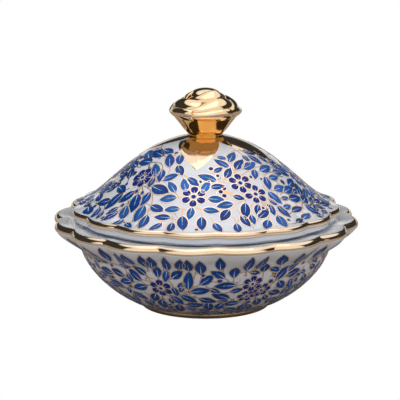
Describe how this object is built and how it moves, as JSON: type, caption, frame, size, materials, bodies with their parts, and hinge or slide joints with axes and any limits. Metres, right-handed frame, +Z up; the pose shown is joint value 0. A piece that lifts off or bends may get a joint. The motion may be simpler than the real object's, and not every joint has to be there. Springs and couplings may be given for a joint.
{
  "type": "covered rice bowl",
  "caption": "Scalloped porcelain rice bowl on a foot ring, with a lift-off domed lid held by a gilded rose knob and a locating ring under its rim.",
  "frame": {"origin": "centre of the foot ring's resting face", "axes": "+Z up along the bowl's axis and the lid's lift; -Y towards the front gilt leaf; scallop tips on X and Y"},
  "size_m": [0.2048, 0.2048, 0.147],
  "materials": {
    "porcelain_bowl": "glossy clear glaze over underglaze painting",
    "porcelain_lid": "glossy clear glaze over underglaze painting",
    "gilt_rim": "fired bright gold lustre, mirror gloss",
    "gilt_knob": "porcelain covered in fired bright gold lustre, mirror gloss"
  },
  "bodies": {
    "bowl": {"bowl_body": "porcelain_bowl", "bowl_rim_gilding": "gilt_rim", "foot_gilding": "gilt_rim"},
    "lid": {"lid_shell": "porcelain_lid", "lid_rim_gilding": "gilt_rim", "leaf_gilding_front": "gilt_rim", "leaf_gilding_right": "gilt_rim", "leaf_gilding_back": "gilt_rim", "leaf_gilding_left": "gilt_rim", "knob_cup": "gilt_knob", "petal_outer_1": "gilt_knob", "petal_outer_2": "gilt_knob", "petal_outer_3": "gilt_knob", "petal_outer_4": "gilt_knob", "petal_outer_5": "gilt_knob", "petal_middle_1": "gilt_knob", "petal_middle_2": "gilt_knob", "petal_middle_3": "gilt_knob", "petal_middle_4": "gilt_knob", "petal_inner_1": "gilt_knob", "petal_inner_2": "gilt_knob", "petal_inner_3": "gilt_knob", "rose_bud": "gilt_knob"}
  },
  "joints": [
    {"name": "lid_lift", "type": "slide", "parent": "bowl", "child": "lid", "axis": [0, 0, 1], "range_m": [0, 0.12]}
  ]
}
